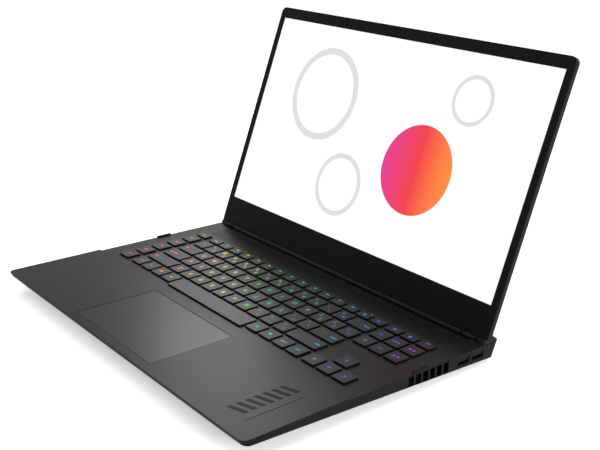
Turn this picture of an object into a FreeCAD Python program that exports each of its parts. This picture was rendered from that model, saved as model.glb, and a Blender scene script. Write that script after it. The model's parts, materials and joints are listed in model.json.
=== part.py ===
import FreeCAD, Part
import math
import os

# Laptop computer, millimetres, +Z up, lid standing open.
# It is drawn with the front edge at Y = 0 and the palm rest at Z = 0, and moved at the end
# so that the origin lies on the desk, under the middle of the open laptop.

# Case sizes
case_depth = 279.0
case_wall = 1.6
corner_radius = 6.0
front_wall_height = 5.0        # height of the side wall at the front edge
rear_wall_height = 16.1        # height of the side wall at the rear edge
front_undercut = 2.5           # the front wall leans back this much
rear_undercut = 6.0            # the rear wall leans forward this much
case_height = 19.2             # palm rest to underside
belly_front = 34.0             # the flat underside starts here
belly_rear_gap = 13.0          # and ends this far ahead of the rear edge
belly_side_gap = 24.0          # its front corners lie this far in from the sides
edge_break = 0.4               # bevel along the top edges
rim_overlap = 1.0              # cutters run past the seam by this much
face_reach = 0.03              # a face or edge this near to a level lies on it

# Palm rest, keyboard deck and rear trough
palm_depth = 102.3
palm_plate = 1.6
deck_drop = 1.4
deck_plate = 1.2
trough_front_gap = 4.4         # trough starts this far ahead of the hinge axis
trough_rear_gap = 7.8          # and ends this far behind it, at the rear shelf
trough_drop = 4.0
trough_side_gap = 11.0

# Keys
key_pitch = 18.93
row_pitch = 19.3
cap_size = 16.0
cap_gap = key_pitch - cap_size
cap_rise = 1.8                 # cap top above the deck
cap_hidden = 1.6               # cap below the deck top
cap_corner = 1.2
cap_edge = 0.4
key_clearance = 0.35
key_travel = 1.4
main_units = 14.5
main_left = -153.2
macro_left = -177.5
nav_left = 123.6
keyboard_gap = 11.8            # bottom row behind the palm rest
function_cap_depth = 10.5
number_key_count = 13
upper_letter_count = 13
home_letter_count = 11
lower_letter_count = 10
function_keys_in_row = 15
lower_row_number = 1           # rows are counted from the space bar
home_row_number = 2
upper_row_number = 3
number_row_number = 4
function_row_number = 5
power_key_place = 13           # places before the power key in the function row
nav_column_count = 3
space_extra_depth = 3.7
side_key_units = 4             # single keys on each side of the space bar
tab_units = 1.5
backspace_units = 1.5
caps_units = 1.75
shift_units = 2.25

# Keyboard back plate
backplate_thickness = 0.8
backplate_rim = 2.0
backplate_margin = 4.0
backplate_slack = 0.5          # room left under a pressed key

# Touchpad
touchpad_left = -69.5
touchpad_width = 126.3
touchpad_front = 9.7
touchpad_rear_gap = 9.8        # touchpad ahead of the deck's step
touchpad_plate_thickness = 1.5
touchpad_sink = 0.15
touchpad_clearance = 0.35
touchpad_edge = 0.25
touchpad_travel_room = 0.8
bracket_margin = 4.5
bracket_floor = 0.8

# Lid
lid_angle = 70.3               # lid leans back from the desk by this angle, degrees
side_border = 7.45             # bezel beside the screen
lid_side_gap = 0.3             # case beyond the lid at each side
lid_thickness = 6.4
lid_wall = 1.3
lid_corner = 6.0
lid_foot_corner = 1.5
lid_rear_chamfer = 4.0
lid_edge_round = 1.2
screen_width = 381.9
screen_height = 211.0
chin_height = 30.0
top_border = 11.7
bezel_thickness = 1.2
panel_body = 2.6
panel_flange = 2.5
panel_sink = 0.6
panel_clearance = 0.3
hinge_rear_gap = 19.1           # hinge axis ahead of the rear edge
hinge_z = 0.0
closed_gap = 0.8               # bezel above the palm rest when the lid is shut
lid_foot = 2.1                 # lower edge of the lid above the hinge axis

# Hinges
knuckle_side_gap = 27.2        # knuckle ends this far in from the side
knuckle_length = 47.0
knuckle_radius = 3.4
pin_radius = 1.5
pin_fit = 0.05
tower_width = 4.0
tower_radius = 1.9
tower_gap = 0.3
tower_foot_depth = 7.0
tower_foot_plate = 0.8
hinge_arm_height = 24.0
hinge_arm_width = 36.0
hinge_arm_plate = 1.2
hinge_arm_fit = 0.15
end_lip_radius = 1.2           # lip under the lid's corners, clear of the deck
hinge_web_start = 1.0          # the web stays this far above the axis, to clear the trough

# Webcam and microphones in the top border
webcam_rise = 5.9              # centre above the screen
webcam_lens_radius = 1.5
webcam_lens_fit = 0.2
webcam_board_width = 40.0
webcam_board_height = 4.6
webcam_board_depth = 1.6
microphone_offset = 40.7
microphone_radius = 0.5

# Side and rear vents
vent_count = 6
vent_pitch = 8.25
vent_slot = 6.1
vent_rear_gap = 113.0          # first slot ahead of the rear edge
vent_top = 2.6
vent_height = 10.2
rear_vent_count = 7
rear_vent_top = 6.8
rear_vent_height = 6.6

# Intake slots in the underside
intake_count = 9
intake_slot = 2.6
intake_pitch = 5.4
intake_length = 46.0

# Fans and cooling
fan_side_gap = 50.7            # fan middle in from the side
fan_rear_gap = 111.0            # fan front ahead of the rear edge
fan_width = 60.0
fan_depth = 62.0
fan_height = 8.4
fan_wall = 1.0
fan_opening_radius = 20.0
fan_spoke = 3.0
fan_hub_disc = 7.0
impeller_radius = 25.0
impeller_hub_radius = 9.0
impeller_height = 5.8
impeller_blades = 11
impeller_blade = 1.0
impeller_gap = 0.3
fin_depth = 32.0
fin_stack_width = 52.0
fin_pitch = 4.0
fin_sheet = 0.8
fin_height = 6.6
pipe_height = 2.4
pipe_width = 8.0
pipe_leg_width = 16.0
cooler_plate_width = 40.0
cooler_plate_gap = 12.0        # behind the fans' front
cooler_plate_depth = 40.0

# Boards, battery, drive, memory and speakers
board_width = 226.0
board_fan_lead = 56.0          # board front ahead of the fans
board_depth = 116.0
board_thickness = 1.6
board_standoff = 4.6
standoff_radius = 3.0
standoff_inset = 8.0
memory_left = -92.0
memory_width = 70.0
memory_depth = 30.0
drive_left = 26.0
drive_width = 80.0
drive_depth = 22.0
module_gap = 18.0              # modules behind the board's front
module_height = 3.4
battery_speaker_gap = 8.0
battery_front = 40.0
battery_board_gap = 14.0
battery_height = 7.6
battery_cells = 4
battery_groove = 1.2
speaker_side_gap = 53.7
speaker_width = 34.0
speaker_front = 44.0
speaker_depth = 48.0
speaker_height = 8.0
speaker_cone_radius = 12.0
speaker_cone_sink = 1.5

# Ports
port_flush = 0.4               # port mouths lie this far inside the case wall
port_fit = 0.15
port_sheet = 0.5
usb_front_gap = 47.0           # socket middles ahead of the rear edge
usb_rear_gap = 29.2
usb_z = -8.6
usb_mouth_width = 13.6
usb_mouth_height = 5.4
usb_depth = 15.0
usb_tongue_height = 1.9
usb_tongue_gap = 0.6
network_gap = 51.0
network_z = -8.6
network_mouth_width = 12.0
network_mouth_height = 7.4
network_depth = 14.0
video_gap = 132.0
video_z = -6.4
video_mouth_width = 14.0
video_mouth_height = 4.4
video_depth = 12.0
video_tongue_height = 1.2
usb_c_gap = 149.0
usb_c_z = -6.0
usb_c_mouth_width = 8.4
usb_c_mouth_height = 2.6
usb_c_depth = 9.0
usb_c_tongue_height = 0.7
audio_gap = 163.0
audio_z = -5.7
audio_bore_radius = 1.75
audio_shell_radius = 2.7
audio_depth = 14.0
audio_bore_depth = 13.0
dc_gap = 33.0
dc_z = -8.4
dc_bore_radius = 2.75
dc_shell_radius = 3.6
dc_depth = 12.0
dc_pin_radius = 0.5

# Small pieces on the deck and the underside
bumper_width = 2.6
bumper_length = 16.4
bumper_rear_gap = 106.8
bumper_height = 1.7
bumper_inset = 0.5
led_x = 94.0
led_gap = 2.0                  # behind the function row
led_radius = 0.6
led_fit = 0.15
led_proud = 0.1
foot_height = 1.3
foot_depth = 8.0
front_foot_y = 40.0
front_foot_width = 240.0
rear_foot_gap = 45.0
rear_foot_width = 300.0
screw_head_radius = 2.5
screw_head_height = 0.8
screw_shank_radius = 1.2
screw_length = 3.2
screw_fit = 0.2
screw_battery_gap = 7.0        # front screws behind the battery
screw_fan_gap = 8.0            # rear screws ahead of the fans
screw_inner_offset = 60.0      # inner screws from the middle

# Worked-out places
lid_width = screen_width + 2 * side_border
case_width = lid_width + 2 * lid_side_gap
half_width = case_width / 2
knuckle_start = half_width - knuckle_side_gap - knuckle_length
fan_offset = half_width - fan_side_gap
fan_front = case_depth - fan_rear_gap
cooler_plate_front = fan_front + cooler_plate_gap
board_front = fan_front - board_fan_lead
module_front = board_front + module_gap
speaker_offset = half_width - speaker_side_gap
battery_width = 2 * (speaker_offset - speaker_width / 2 - battery_speaker_gap)
battery_depth = board_front - battery_board_gap - battery_front
bottom_row_front = palm_depth + keyboard_gap
touchpad_depth = palm_depth - touchpad_front - touchpad_rear_gap
vent_start = case_depth - vent_rear_gap
usb_front_y = case_depth - usb_front_gap
usb_rear_y = case_depth - usb_rear_gap
network_y = case_depth - network_gap
video_y = case_depth - video_gap
usb_c_y = case_depth - usb_c_gap
audio_y = case_depth - audio_gap
dc_y = case_depth - dc_gap
bumper_start = case_depth - bumper_rear_gap
rear_foot_y = case_depth - rear_foot_gap
deck_z = -deck_drop
deck_under = deck_z - deck_plate
trough_z = -trough_drop
belly_z = -case_height
floor_z = belly_z + case_wall
rim_front = FreeCAD.Vector(0, front_undercut, -front_wall_height)
rim_rear = FreeCAD.Vector(0, case_depth - rear_undercut, -rear_wall_height)
rim_slope = (rim_rear.z - rim_front.z) / (rim_rear.y - rim_front.y)
belly_rear = case_depth - belly_rear_gap
cap_top = deck_z + cap_rise
cap_bottom = deck_z - cap_hidden
hinge_y = case_depth - hinge_rear_gap
trough_start = hinge_y - trough_front_gap
trough_end = hinge_y + trough_rear_gap
bezel_face = hinge_z - closed_gap
lid_height = chin_height + screen_height + top_border
screen_bottom = lid_foot + chin_height
lean = math.radians(lid_angle)
lid_back_face = bezel_face - lid_thickness
reach = hinge_y + (lid_foot + lid_height) * math.cos(lean) - lid_back_face * math.sin(lean)
desk_z = belly_z - foot_height
origin_move = FreeCAD.Vector(0, -reach / 2, -desk_z)

os.makedirs("parts", exist_ok=True)


def box(x0, x1, y0, y1, z0, z1):
    return Part.makeBox(x1 - x0, y1 - y0, z1 - z0, FreeCAD.Vector(x0, y0, z0))


def rod(x, y, z, radius, height, axis=FreeCAD.Vector(0, 0, 1)):
    return Part.makeCylinder(radius, height, FreeCAD.Vector(x, y, z), axis)


def along_x(x0, x1, y, z, radius):
    return rod(x0, y, z, radius, x1 - x0, FreeCAD.Vector(1, 0, 0))


def join(pieces):
    return pieces[0].multiFuse(pieces[1:]).removeSplitter()


def save(name, shape):
    shape = shape.translated(origin_move)
    shape.exportStep("parts/" + name + ".step")
    print(name, len(shape.Solids), round(shape.Volume), shape.isValid())


# A closed loop through flat corners, each rounded by its own radius
def rounded_loop(corners, radii):
    count = len(corners)
    turns = []
    for i in range(count):
        corner = corners[i]
        back = (corners[i - 1] - corner).normalize()
        ahead = (corners[(i + 1) % count] - corner).normalize()
        radius = radii[i]
        half_turn = back.getAngle(ahead) / 2
        run = radius / math.tan(half_turn)
        middle = (back + ahead).normalize() * (radius / math.sin(half_turn) - radius)
        turns.append((corner + back * run, corner + middle, corner + ahead * run))
    edges = []
    for i in range(count):
        start, middle, end = turns[i]
        edges.append(Part.Arc(start, middle, end).toShape())
        edges.append(Part.LineSegment(end, turns[(i + 1) % count][0]).toShape())
    return Part.Wire(edges)


# Four corners, front left to rear left, symmetric about X = 0
def four_corners(front_half, front_y, front_z, rear_half, rear_y, rear_z):
    return [
        FreeCAD.Vector(-front_half, front_y, front_z),
        FreeCAD.Vector(front_half, front_y, front_z),
        FreeCAD.Vector(rear_half, rear_y, rear_z),
        FreeCAD.Vector(-rear_half, rear_y, rear_z),
    ]


def rim_height(y):
    return rim_front.z + rim_slope * (y - rim_front.y)


# The case's three levels: palm rest, seam and underside, drawn in by the wall for the hollow
def palm_loop(inset, level):
    half = half_width - inset
    corners = four_corners(half, inset, level, half, case_depth - inset, level)
    return rounded_loop(corners, [corner_radius - inset] * len(corners))


def rim_loop(inset, drop):
    half = half_width - inset
    front_y = rim_front.y + inset
    rear_y = rim_rear.y - inset
    front_z = rim_height(front_y) - drop
    rear_z = rim_height(rear_y) - drop
    corners = four_corners(half, front_y, front_z, half, rear_y, rear_z)
    return rounded_loop(corners, [corner_radius - inset] * len(corners))


# The side flanks are flat, so the underside's edges aim at where the seam line meets its level
def belly_loop(inset, level):
    meeting_y = rim_front.y + (belly_z - rim_front.z) / rim_slope
    rear_gap = belly_side_gap * (meeting_y - belly_rear) / (meeting_y - belly_front)
    front_half = half_width - belly_side_gap - inset
    rear_half = half_width - rear_gap - inset
    corners = four_corners(front_half, belly_front + inset, level, rear_half, belly_rear - inset, level)
    return rounded_loop(corners, [corner_radius - inset] * len(corners))


def loft(lower, upper):
    return Part.makeLoft([lower, upper], True, True)


# Key layout: name of the piece, left, front, width, depth
def row_front(row):
    return bottom_row_front + row * row_pitch


def cap_width(units):
    return units * key_pitch - cap_gap


def run_of_keys(left, row, widths):
    keys = []
    for units in widths:
        keys.append((left, row_front(row), cap_width(units), cap_size))
        left += units * key_pitch
    return keys


def function_run():
    pitch = main_units * key_pitch / function_keys_in_row
    width = pitch - cap_gap
    return [(main_left + i * pitch, row_front(function_row_number), width, function_cap_depth)
            for i in range(function_keys_in_row)]


def column_of_keys(left, rows):
    keys = []
    for row in rows:
        depth = function_cap_depth if row == function_row_number else cap_size
        keys.append((left, row_front(row), cap_size, depth))
    return keys


function_row = function_run()
number_row = run_of_keys(main_left, number_row_number, [1] * number_key_count + [backspace_units])
upper_row = run_of_keys(main_left, upper_row_number, [tab_units] + [1] * upper_letter_count)
home_row = run_of_keys(main_left, home_row_number,
                       [caps_units] + [1] * home_letter_count + [caps_units])
lower_row = run_of_keys(main_left, lower_row_number,
                        [shift_units] + [1] * lower_letter_count + [shift_units])
space_units = main_units - 2 * side_key_units
bottom_row = run_of_keys(main_left, 0, [1] * side_key_units + [space_units] + [1] * side_key_units)
space_left, space_front, space_width, space_depth = bottom_row[side_key_units]
space_key = (space_left, space_front - space_extra_depth, space_width, space_depth + space_extra_depth)
nav_columns = [nav_left + i * key_pitch for i in range(nav_column_count)]
nav_rows = (upper_row_number, number_row_number, function_row_number)
nav_keys = [key for left in nav_columns for key in column_of_keys(left, nav_rows)]

key_groups = {
    "macro_keys": column_of_keys(macro_left, range(function_row_number + 1)),
    "function_keys": function_row[:power_key_place] + function_row[power_key_place + 1:],
    "power_key": [function_row[power_key_place]],
    "number_keys": number_row[:-1],
    "backspace_key": [number_row[-1]],
    "tab_key": [upper_row[0]],
    "upper_letter_keys": upper_row[1:],
    "caps_lock_key": [home_row[0]],
    "home_letter_keys": home_row[1:-1],
    "enter_key": [home_row[-1]],
    "left_shift_key": [lower_row[0]],
    "lower_letter_keys": lower_row[1:-1],
    "right_shift_key": [lower_row[-1]],
    "modifier_keys": bottom_row[:side_key_units] + bottom_row[side_key_units + 1:],
    "space_bar": [space_key],
    "navigation_keys": nav_keys,
    "arrow_up_key": column_of_keys(nav_columns[1], (lower_row_number,)),
    "arrow_left_key": column_of_keys(nav_columns[0], (0,)),
    "arrow_down_key": column_of_keys(nav_columns[1], (0,)),
    "arrow_right_key": column_of_keys(nav_columns[2], (0,)),
}
all_keys = [key for group in key_groups.values() for key in group]


def key_cap(left, front, width, depth):
    block = box(0, width, 0, depth, cap_bottom, cap_top)
    upright = [e for e in block.Edges if abs(e.Vertexes[0].Z - e.Vertexes[-1].Z) > cap_edge]
    block = block.makeFillet(cap_corner, upright)
    top = [f for f in block.Faces if f.CenterOfMass.z > cap_top - face_reach][0]
    block = block.makeChamfer(cap_edge, top.Edges)
    return block.translated(FreeCAD.Vector(left, front, 0))


def key_hole(left, front, width, depth):
    gap = key_clearance
    return box(left - gap, left + width + gap, front - gap, front + depth + gap,
               deck_under - gap, deck_z + gap)


for name, keys in key_groups.items():
    save(name, Part.Compound([key_cap(*key) for key in keys]))


# Ports: a sheet shell round a mouth, drawn for the right wall and mirrored to the left
def mirrored(shape):
    return shape.mirror(FreeCAD.Vector(0, 0, 0), FreeCAD.Vector(1, 0, 0))


mouth_x = half_width - port_flush


def socket(y, z, width, height, depth, tongue):
    outer_w = width / 2 + port_sheet
    outer_h = height / 2 + port_sheet
    shell = box(mouth_x - depth, mouth_x, y - outer_w, y + outer_w, z - outer_h, z + outer_h)
    back = mouth_x - depth + port_sheet
    mouth = box(back, mouth_x + port_flush, y - width / 2, y + width / 2, z - height / 2, z + height / 2)
    shell = shell.cut(mouth)
    if tongue:
        tongue_top = z + height / 2 - usb_tongue_gap
        reach_out = mouth_x - port_sheet
        side = width / 2 - usb_tongue_gap
        bar = box(back - port_sheet / 2, reach_out, y - side, y + side, tongue_top - tongue, tongue_top)
        shell = join([shell, bar])
    return shell


def round_socket(y, z, bore, shell_radius, depth, bore_depth):
    shell = along_x(mouth_x - depth, mouth_x, y, z, shell_radius)
    return shell.cut(along_x(mouth_x - bore_depth, mouth_x + port_flush, y, z, bore))


def wall_hole(y, z, width, height):
    w = width / 2 + port_sheet + port_fit
    h = height / 2 + port_sheet + port_fit
    return box(half_width - case_wall * 2, half_width + rim_overlap, y - w, y + w, z - h, z + h)


def round_wall_hole(y, z, shell_radius):
    return along_x(half_width - case_wall * 2, half_width + rim_overlap, y, z, shell_radius + port_fit)


usb_size = (usb_mouth_width, usb_mouth_height)
network_size = (network_mouth_width, network_mouth_height)
video_size = (video_mouth_width, video_mouth_height)
usb_c_size = (usb_c_mouth_width, usb_c_mouth_height)
save("usb_port_front", socket(usb_front_y, usb_z, *usb_size, usb_depth, usb_tongue_height))
save("usb_port_rear", socket(usb_rear_y, usb_z, *usb_size, usb_depth, usb_tongue_height))
save("network_port", mirrored(socket(network_y, network_z, *network_size, network_depth, 0)))
save("video_port", mirrored(socket(video_y, video_z, *video_size, video_depth, video_tongue_height)))
save("usb_c_port", mirrored(socket(usb_c_y, usb_c_z, *usb_c_size, usb_c_depth, usb_c_tongue_height)))
audio = round_socket(audio_y, audio_z, audio_bore_radius, audio_shell_radius, audio_depth, audio_bore_depth)
save("audio_jack", mirrored(audio))
dc_shell = round_socket(dc_y, dc_z, dc_bore_radius, dc_shell_radius, dc_depth, dc_depth - case_wall)
dc_pin = along_x(mouth_x - dc_depth + case_wall / 2, mouth_x - case_wall, dc_y, dc_z, dc_pin_radius)
save("dc_inlet", mirrored(join([dc_shell, dc_pin])))

right_wall_cuts = [wall_hole(usb_front_y, usb_z, *usb_size), wall_hole(usb_rear_y, usb_z, *usb_size)]
left_wall_cuts = [
    wall_hole(network_y, network_z, *network_size),
    wall_hole(video_y, video_z, *video_size),
    wall_hole(usb_c_y, usb_c_z, *usb_c_size),
    round_wall_hole(audio_y, audio_z, audio_shell_radius),
    round_wall_hole(dc_y, dc_z, dc_shell_radius),
]
for i in range(vent_count):
    slot_y = vent_start + i * vent_pitch
    slot = box(half_width - case_wall * 2, half_width + rim_overlap,
               slot_y, slot_y + vent_slot, -vent_top - vent_height, -vent_top)
    right_wall_cuts.append(slot)
    left_wall_cuts.append(slot)
rear_vent_cuts = []
for side in (-1, 1):
    for i in range(rear_vent_count):
        middle = side * fan_offset + (i - (rear_vent_count - 1) / 2) * vent_pitch
        rear_vent_cuts.append(box(middle - vent_slot / 2, middle + vent_slot / 2, belly_rear, case_depth,
                                  -rear_vent_top - rear_vent_height, -rear_vent_top))

# Top case: palm rest, keyboard deck and side walls in one shell
touchpad_right = touchpad_left + touchpad_width
touchpad_rear = touchpad_front + touchpad_depth
walls = loft(rim_loop(0, 0), palm_loop(0, -edge_break))
outer_case = join([walls, loft(palm_loop(0, -edge_break), palm_loop(edge_break, 0))])
inner_case = loft(rim_loop(case_wall, rim_overlap), palm_loop(case_wall, 0))
wide = half_width + rim_overlap
deep = case_depth + rim_overlap
low = belly_z - rim_overlap
recess = box(-wide, wide, palm_depth, deep, deck_z, rim_overlap)
trough_half = half_width - trough_side_gap
trough = box(-trough_half, trough_half, trough_start, trough_end, trough_z, rim_overlap)
palm_hollow = box(-wide, wide, -rim_overlap, palm_depth - palm_plate, low, -palm_plate)
deck_hollow = box(-wide, wide, palm_depth - palm_plate, trough_start - deck_plate, low, deck_under)
rear_hollow = box(-wide, wide, trough_start - deck_plate, deep, low, trough_z - deck_plate)
shelf_hollow = box(-wide, wide, trough_end + deck_plate, deep, low, deck_under)
hollow = inner_case.common(join([palm_hollow, deck_hollow, rear_hollow, shelf_hollow]))
gap = touchpad_clearance
touchpad_hole = box(touchpad_left - gap, touchpad_right + gap, touchpad_front - gap, touchpad_rear + gap,
                    -palm_plate - rim_overlap, rim_overlap)
led_y = row_front(function_row_number) + function_cap_depth + led_gap
led_hole = rod(led_x, led_y, deck_under - gap, led_radius + led_fit, deck_plate + 2 * gap)
bevel_profile = [(half_width - edge_break, deck_z), (half_width + edge_break, deck_z),
                 (half_width + edge_break, deck_z - 2 * edge_break)]
bevel_points = [FreeCAD.Vector(x, palm_depth, z) for x, z in bevel_profile + bevel_profile[:1]]
deck_bevel = Part.Face(Part.makePolygon(bevel_points)).extrude(FreeCAD.Vector(0, case_depth, 0))
top_case = outer_case.cut(Part.Compound([recess, trough]))
top_case = top_case.cut(Part.Compound([deck_bevel, mirrored(deck_bevel)]))
top_case = top_case.cut(hollow)
top_case = top_case.cut(Part.Compound([key_hole(*key) for key in all_keys] + [touchpad_hole, led_hole]))
top_case = top_case.cut(Part.Compound(right_wall_cuts))
top_case = top_case.cut(Part.Compound([mirrored(cut) for cut in left_wall_cuts]))
top_case = top_case.cut(Part.Compound(rear_vent_cuts))
save("top_case", top_case)

# Bottom cover with board posts, fan intakes and countersunk screw seats
outer_belly = loft(belly_loop(0, belly_z), rim_loop(0, 0))
inner_belly = loft(belly_loop(case_wall, floor_z), rim_loop(case_wall, -rim_overlap))
bottom_cover = outer_belly.cut(inner_belly)
board_z = floor_z + board_standoff
board_rear = board_front + board_depth
posts = []
for x in (-board_width / 2 + standoff_inset, 0, board_width / 2 - standoff_inset):
    for y in (board_front + standoff_inset, board_rear - standoff_inset):
        posts.append(rod(x, y, floor_z, standoff_radius, board_standoff))
fan_middle_y = fan_front + fan_depth / 2
cuts = []
for side in (-1, 1):
    for i in range(intake_count):
        y = fan_middle_y + (i - (intake_count - 1) / 2) * intake_pitch
        x = side * fan_offset
        cuts.append(box(x - intake_length / 2, x + intake_length / 2,
                        y - intake_slot / 2, y + intake_slot / 2,
                        belly_z - rim_overlap, floor_z + rim_overlap))
screws = []
for x in (-fan_offset, -screw_inner_offset, screw_inner_offset, fan_offset):
    for y in (battery_front + battery_depth + screw_battery_gap, fan_front - screw_fan_gap):
        head = rod(x, y, belly_z, screw_head_radius, screw_head_height)
        shank = rod(x, y, belly_z, screw_shank_radius, screw_length)
        screws.append(join([head, shank]))
        seat = rod(x, y, belly_z - rim_overlap, screw_head_radius + screw_fit,
                   screw_head_height + rim_overlap)
        hole = rod(x, y, belly_z, screw_shank_radius + screw_fit, screw_length)
        cuts.append(join([seat, hole]))
bottom_cover = join([bottom_cover] + posts).cut(Part.Compound(cuts))
save("bottom_cover", bottom_cover)
save("bottom_screws", Part.Compound(screws))

# Keyboard back plate hangs from the deck by its rim and spans all the keys
backplate_top = cap_bottom - key_travel - backplate_slack
plate_left = macro_left - backplate_margin
plate_right = nav_columns[-1] + cap_size + backplate_margin
plate_front = space_key[1] - backplate_margin
plate_rear = row_front(function_row_number) + function_cap_depth + backplate_margin
tray = box(plate_left, plate_right, plate_front, plate_rear,
           backplate_top - backplate_thickness, deck_under)
tray_hollow = box(plate_left + backplate_rim, plate_right - backplate_rim, plate_front + backplate_rim,
                  plate_rear - backplate_rim, backplate_top, deck_under)
save("keyboard_backplate", tray.cut(tray_hollow))

# Touchpad plate and the bracket under it
pad_top = -touchpad_sink
pad_bottom = pad_top - touchpad_plate_thickness
pad = box(touchpad_left, touchpad_right, touchpad_front, touchpad_rear, pad_bottom, pad_top)
pad_top_face = [f for f in pad.Faces if f.CenterOfMass.z > pad_top - face_reach][0]
save("touchpad_plate", pad.makeChamfer(touchpad_edge, pad_top_face.Edges))
pocket_floor = pad_bottom - touchpad_travel_room
bracket = box(touchpad_left - bracket_margin, touchpad_right + bracket_margin,
              touchpad_front - bracket_margin, touchpad_rear + bracket_margin,
              pocket_floor - bracket_floor, -palm_plate)
pocket = box(touchpad_left - gap, touchpad_right + gap, touchpad_front - gap, touchpad_rear + gap,
             pocket_floor, -palm_plate)
save("touchpad_bracket", bracket.cut(pocket))

# Main board and what stands on it
board_top = board_z + board_thickness
save("mainboard", box(-board_width / 2, board_width / 2, board_front, board_rear, board_z, board_top))
module_top = board_top + module_height
save("memory_modules", box(memory_left, memory_left + memory_width,
                           module_front, module_front + memory_depth, board_top, module_top))
save("storage_drive", box(drive_left, drive_left + drive_width, module_front, module_front + drive_depth,
                          board_top, module_top))

# Battery with a groove between its cells
battery = box(-battery_width / 2, battery_width / 2, battery_front, battery_front + battery_depth,
              floor_z, floor_z + battery_height)
grooves = []
for i in range(1, battery_cells):
    x = -battery_width / 2 + i * battery_width / battery_cells
    grooves.append(box(x - battery_groove / 2, x + battery_groove / 2,
                       battery_front, battery_front + battery_depth,
                       floor_z + battery_height - battery_groove, floor_z + battery_height))
save("battery_pack", battery.cut(Part.Compound(grooves)))

# Speakers beside the battery, cones facing the palm rest
for side, name in ((-1, "speaker_left"), (1, "speaker_right")):
    x = side * speaker_offset
    body = box(x - speaker_width / 2, x + speaker_width / 2, speaker_front, speaker_front + speaker_depth,
               floor_z, floor_z + speaker_height)
    cone = Part.makeCone(speaker_cone_radius / 2, speaker_cone_radius, speaker_cone_sink,
                         FreeCAD.Vector(x, speaker_front + speaker_depth / 2,
                                        floor_z + speaker_height - speaker_cone_sink))
    save(name, body.cut(cone))

# Fans: a housing open above, below and at the rear, with an impeller on its shaft
fan_top = floor_z + fan_height
hub_z = floor_z + fan_wall + impeller_gap


def fan_housing(x):
    left = x - fan_width / 2
    right = x + fan_width / 2
    rear = fan_front + fan_depth
    body = box(left, right, fan_front, rear, floor_z, fan_top)
    room = box(left + fan_wall, right - fan_wall, fan_front + fan_wall, rear,
               floor_z + fan_wall, fan_top - fan_wall)
    upper_opening = rod(x, fan_middle_y, fan_top - fan_wall, fan_opening_radius, fan_wall)
    lower_opening = rod(x, fan_middle_y, floor_z, fan_opening_radius, fan_wall)
    spokes = [
        box(left, right, fan_middle_y - fan_spoke / 2, fan_middle_y + fan_spoke / 2,
            floor_z, floor_z + fan_wall),
        rod(x, fan_middle_y, floor_z, fan_hub_disc, fan_wall),
    ]
    shaft = rod(x, fan_middle_y, floor_z, pin_radius, fan_wall + impeller_gap + impeller_height)
    shell = body.cut(room).cut(upper_opening).cut(lower_opening.cut(join(spokes)))
    return join([shell, shaft])


def fan_impeller(x):
    hub = rod(x, fan_middle_y, hub_z, impeller_hub_radius, impeller_height)
    blades = []
    for i in range(impeller_blades):
        blade = box(impeller_hub_radius / 2, impeller_radius, -impeller_blade / 2, impeller_blade / 2,
                    0, impeller_height)
        blade.rotate(FreeCAD.Vector(0, 0, 0), FreeCAD.Vector(0, 0, 1), i * 360 / impeller_blades)
        blades.append(blade.translated(FreeCAD.Vector(x, fan_middle_y, hub_z)))
    bore = rod(x, fan_middle_y, hub_z - impeller_gap, pin_radius + pin_fit,
               impeller_height + 2 * impeller_gap)
    return join([hub] + blades).cut(bore)


# Fins stand against the fan outlet, under the heat pipe
def fin_stack(x):
    front = fan_front + fan_depth
    left = x - fin_stack_width / 2
    top = fan_top
    sheets = [box(left, left + fin_stack_width, front, front + fin_depth, top - fin_sheet, top)]
    for i in range(int(fin_stack_width / fin_pitch) + 1):
        edge = min(left + i * fin_pitch, left + fin_stack_width - fin_sheet)
        sheets.append(box(edge, edge + fin_sheet, front, front + fin_depth, top - fin_height, top))
    return join(sheets)


for side, word in ((-1, "left"), (1, "right")):
    save("fan_housing_" + word, fan_housing(side * fan_offset))
    save("fan_impeller_" + word, fan_impeller(side * fan_offset))
    save("fin_stack_" + word, fin_stack(side * fan_offset))

pipe_y = fan_front + fan_depth + fin_depth / 2
pipe_end = fan_offset + fin_stack_width / 2
cooler_rear = cooler_plate_front + cooler_plate_depth
heat_pipes = join([
    box(-pipe_end, pipe_end, pipe_y - pipe_width / 2, pipe_y + pipe_width / 2,
        fan_top, fan_top + pipe_height),
    box(-pipe_leg_width / 2, pipe_leg_width / 2, cooler_plate_front, pipe_y,
        fan_top, fan_top + pipe_height),
    box(-cooler_plate_width / 2, cooler_plate_width / 2, cooler_plate_front, cooler_rear,
        board_top, fan_top),
])
save("heat_pipes", heat_pipes)

# Rubber feet, lid bumpers and the power light
save("front_foot", box(-front_foot_width / 2, front_foot_width / 2, front_foot_y, front_foot_y + foot_depth,
                       desk_z, belly_z))
save("rear_foot", box(-rear_foot_width / 2, rear_foot_width / 2, rear_foot_y, rear_foot_y + foot_depth,
                      desk_z, belly_z))
bumper = box(half_width - bumper_inset - bumper_width, half_width - bumper_inset, bumper_start,
             bumper_start + bumper_length, deck_z, deck_z + bumper_height)
save("lid_bumpers", Part.Compound([bumper, mirrored(bumper)]))
save("power_led", rod(led_x, led_y, deck_under, led_radius, deck_plate + led_proud))


# Lid pieces are drawn flat, with Y up the lid from the hinge axis and Z out of the screen
def stand_lid(shape):
    shape = shape.copy()
    shape.rotate(FreeCAD.Vector(0, 0, 0), FreeCAD.Vector(1, 0, 0), lid_angle)
    return shape.translated(FreeCAD.Vector(0, hinge_y, hinge_z))


lid_half = lid_width / 2
lid_top = lid_foot + lid_height
shell_face = bezel_face - bezel_thickness


def lid_outline(inset, level):
    half = lid_half - inset
    corners = four_corners(half, lid_foot + inset, level, half, lid_top - inset, level)
    foot_radius = max(lid_foot_corner - inset, lid_wall / 2)
    return rounded_loop(corners, [foot_radius, foot_radius, lid_corner - inset, lid_corner - inset])


def lid_slab(inset, lower, upper):
    return Part.Face(lid_outline(inset, lower)).extrude(FreeCAD.Vector(0, 0, upper - lower))


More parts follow.
